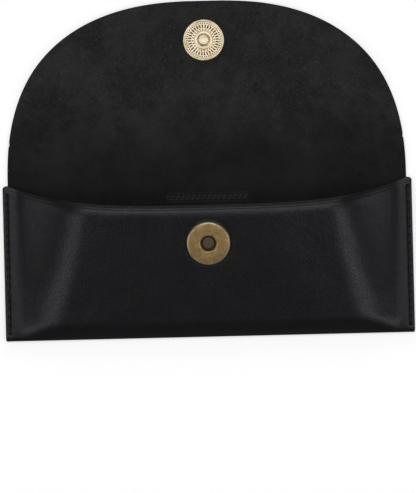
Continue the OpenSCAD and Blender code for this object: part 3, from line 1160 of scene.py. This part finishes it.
# %% [markdown]
# ## Turned parts
# The snap's parts are pressed or turned, so each one is a profile that is spun round its axis.
# By hand that is one vertex, extruded from point to point along the profile, and then the spin
# operator. Corners of the profile are short arcs, because a real pressed edge has a radius, and
# that radius is what catches the light.


# %% A lathe
def arc(centre, radius, start, end, count=5):
    """Points of a rounded corner, as (distance from the axis, height), angles in degrees."""
    points = []
    for i in range(count + 1):
        angle = math.radians(start + (end - start) * i / count)
        points.append((centre[0] + radius * math.cos(angle), centre[1] + radius * math.sin(angle)))
    return points


def turned(name, profile, closed, segments=96):
    """A profile in millimetres, spun round Z. A closed one is a ring, and an open one meets the axis."""
    deselect()
    bpy.ops.mesh.primitive_plane_add(size=1 * MM, location=(0, 0, 0))
    made = bpy.context.object
    made.name = name
    bpy.ops.object.mode_set(mode="EDIT")
    bpy.ops.mesh.select_mode(type="VERT")
    bpy.ops.mesh.select_all(action="SELECT")
    bpy.ops.mesh.merge(type="CENTER")
    bpy.ops.mesh.select_all(action="SELECT")
    first = Vector((profile[0][0] * MM, 0, profile[0][1] * MM))
    bpy.ops.transform.translate(value=first)
    before = first
    for radius, height in profile[1:]:
        here = Vector((radius * MM, 0, height * MM))
        bpy.ops.mesh.extrude_vertices_move(TRANSFORM_OT_translate={"value": here - before})
        before = here
    if closed:
        bpy.ops.mesh.extrude_vertices_move(TRANSFORM_OT_translate={"value": first - before})
        bpy.ops.mesh.select_all(action="SELECT")
        bpy.ops.mesh.remove_doubles(threshold=1e-7)
    bpy.ops.mesh.select_all(action="SELECT")
    bpy.ops.mesh.spin(steps=segments, angle=math.tau, center=(0, 0, 0), axis=(0, 0, 1))
    bpy.ops.mesh.select_all(action="SELECT")
    bpy.ops.mesh.remove_doubles(threshold=2e-6)
    bpy.ops.mesh.normals_make_consistent(inside=False)
    bpy.ops.object.mode_set(mode="OBJECT")
    return made


def seat_part(item, place, tilt, material, body, nodes):
    """Moves a turned part to its place, in its mesh, and hangs it on the frame."""
    item.data.transform(Matrix.Translation(place) @ Matrix.Rotation(tilt, 4, "X"))
    item.data.materials.clear()
    item.data.materials.append(material)
    activate(item)
    bpy.ops.object.shade_smooth_by_angle(angle=math.radians(35))
    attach(item, body)
    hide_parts(*nodes)
    print(item.name, len(item.data.polygons), "faces")


BRASS = antique_brass(SOCKET_CENTRE, TILT)
GOLD = pale_brass()
STEEL = plated_steel()
FERRITE = ferrite()
HOLLOW_SHADE = hollow_shade()


def shade_hollows(item, faces):
    """Gives the faces of a hollow a dark second material, which is painted shade."""
    item.data.materials.append(HOLLOW_SHADE)
    for face in faces:
        item.data.polygons[face].material_index = 1

# %% [markdown]
# The socket is a pressed cup, upside down on the leather: a flat ring with a rounded outer edge
# and a hole whose lip is pressed in. Looking down the hole one sees the dark gap round the stub
# of the steel pole. The cup is one closed skin, 0.4 mm thick.

# %% Socket
cup_profile = (
    [(8.6, -0.3), (9.0, -0.3), (9.0, 1.55)]
    + arc((8.25, 1.65), 0.75, 0, 62, 7)
    + [(8.45, 2.37), (8.3, 2.4), (4.05, 2.4)]
    + arc((3.95, 1.6), 0.8, 85, 178, 7)
    + [(3.15, 0.72), (3.52, 0.72), (3.52, 2.0), (8.1, 2.0), (8.6, 1.6)]
)
socket_cup = turned("snap_socket_cup", cup_profile, closed=True, segments=112)
seat_part(socket_cup, SOCKET_CENTRE, TILT, BRASS, "pouch", ["socket_cup"])

pole_profile = (
    [(0, 0.95), (1.75, 0.95)]
    + arc((2.1, 0.55), 0.4, 90, 0, 5)
    + [(2.5, 0.42), (8.5, 0.40), (8.5, -0.28), (1.56, -0.28), (1.56, 0.5), (0, 0.5)]
)
socket_pole = turned("snap_socket_pole", pole_profile, closed=False)
# Painted shade: the pole's rounded shoulder and flange, seen in the gap round the stub, are painted dark
# as the shade down in that gap.
gap_shade_faces = [
    face.index
    for face in socket_pole.data.polygons
    if math.hypot(face.center.x, face.center.y) > 2.3 * MM and face.center.z < 0.9 * MM
]
seat_part(socket_pole, SOCKET_CENTRE, TILT, STEEL, "pouch", ["socket_pole"])
shade_hollows(socket_pole, gap_shade_faces)

# %% [markdown]
# The plug is a thin pressed disc with a raised rim, and a round pin that goes into the socket.
# The space between them is filled with plain tooled marks: a ring of short bars between two
# rows of dots. They are faces of the spun disc, chosen by their angle, and pressed down
# together by inset.

# %% Plug
disc_profile = (
    [(8.3, -0.3), (8.7, -0.3), (8.7, 0.75)]
    + arc((8.3, 0.8), 0.4, 0, 90, 6)
    + [(8.05, 1.2), (7.9, 1.16), (7.78, 1.08), (7.6, 1.05)]
    + [(radius, 1.05) for radius in (7.35, 7.0, 6.75, 6.5, 5.1, 4.85, 4.6, 4.25)]
    + [(4.05, 1.05), (3.9, 1.1), (3.75, 1.18), (3.6, 1.2), (2.85, 1.2)]
    + arc((2.85, 0.95), 0.25, 90, 180, 4)
    + [(2.6, 0.5), (8.0, 0.5), (8.3, 0.3)]
)
plug_disc = turned("snap_plug_disc", disc_profile, closed=True, segments=192)


def pressed_marks(item, wanted, inset, depth):
    """Presses the chosen faces down, each connected group as one mark, and lists them."""
    activate(item)
    bpy.ops.object.mode_set(mode="EDIT")
    bpy.ops.mesh.select_mode(type="FACE")
    bpy.ops.mesh.select_all(action="DESELECT")
    mesh = bmesh.from_edit_mesh(item.data)
    for face in mesh.faces:
        middle = face.calc_center_median()
        turn = math.degrees(math.atan2(middle.y, middle.x)) % 360
        if face.normal.z > 0.9 and wanted(math.hypot(middle.x, middle.y) / MM, turn):
            face.select_set(True)
    bmesh.update_edit_mesh(item.data)
    bpy.ops.mesh.inset(thickness=inset, depth=-depth)
    bpy.ops.object.mode_set(mode="OBJECT")
    return [face.index for face in item.data.polygons if face.select]


def is_bar(far, turn):
    return 5.1 < far < 6.5 and (turn // 1.875) % 6 < 3


def is_dot(far, turn):
    outside = 6.75 < far < 7.35 and (turn // 1.875) % 4 < 2
    inside = 4.25 < far < 4.85 and (turn // 1.875) % 8 < 3
    return outside or inside


bars = pressed_marks(plug_disc, is_bar, 0.06 * MM, 0.16 * MM)
dots = pressed_marks(plug_disc, is_dot, 0.05 * MM, 0.13 * MM)
print("marks:", len(bars), "bar faces and", len(dots), "dot faces")
seat_part(plug_disc, PLUG_CENTRE, 0, GOLD, "flap", ["plug_disc"])
# Painted shade: the pressed bars and dots are painted dark, as shade in the marks.
shade_hollows(plug_disc, bars + dots)

pin_profile = (
    [(0, 2.44), (1.2, 2.44), (1.45, 2.47), (1.6, 2.5)]
    + arc((1.85, 2.05), 0.45, 90, 0, 6)
    + [(2.3, 0.1), (2.8, 0.08), (2.8, -0.28), (1.56, -0.28), (1.56, 1.3), (0, 1.3)]
)
plug_pin = turned("snap_plug_pin", pin_profile, closed=False)
seat_part(plug_pin, PLUG_CENTRE, 0, GOLD, "flap", ["plug_pin"])

# %% [markdown]
# A rivet holds each half of the snap to the leather. One head is inside the pouch and the other
# is on the smooth side of the flap, where it is the one piece of metal that shows when the case
# is closed. Both are thin domed caps with a rolled edge, and a shank that goes through.


# %% Rivets
def rivet_profile(low, head, shank_top):
    """A domed cap whose crown is at low and whose back is at low + head, with its shank."""
    dome = [(0, low), (1.5, low + 0.02), (2.8, low + 0.08), (3.8, low + 0.17), (4.45, low + 0.28)]
    edge = arc((4.72, low + 0.42), 0.26, -120, 80, 8)
    return dome + edge + [(4.5, low + head), (1.5, low + head), (1.5, shank_top), (0, shank_top)]


plug_rivet = turned("snap_plug_rivet", rivet_profile(-1.79, 0.6, 1.15), closed=False)
seat_part(plug_rivet, PLUG_CENTRE, 0, GOLD, "flap", ["plug_rivet"])
socket_rivet = turned("snap_socket_rivet", rivet_profile(-2.1, 0.6, 0.45), closed=False)
seat_part(socket_rivet, SOCKET_CENTRE, TILT, GOLD, "pouch", ["socket_rivet"])

# %% [markdown]
# ## What stays from the CAD
# The ring magnet and the steel plate inside the snap are right as they are. They can't be seen
# when the snap is whole, but they get their own finishes, for anyone who takes it apart.

# %% Finish the carried-over nodes
for name, material in (("socket_magnet", FERRITE), ("plug_plate", STEEL)):
    node = bpy.data.objects[name]
    node.data.materials.clear()
    node.data.materials.append(material)
    print(name, "gets", material.name)
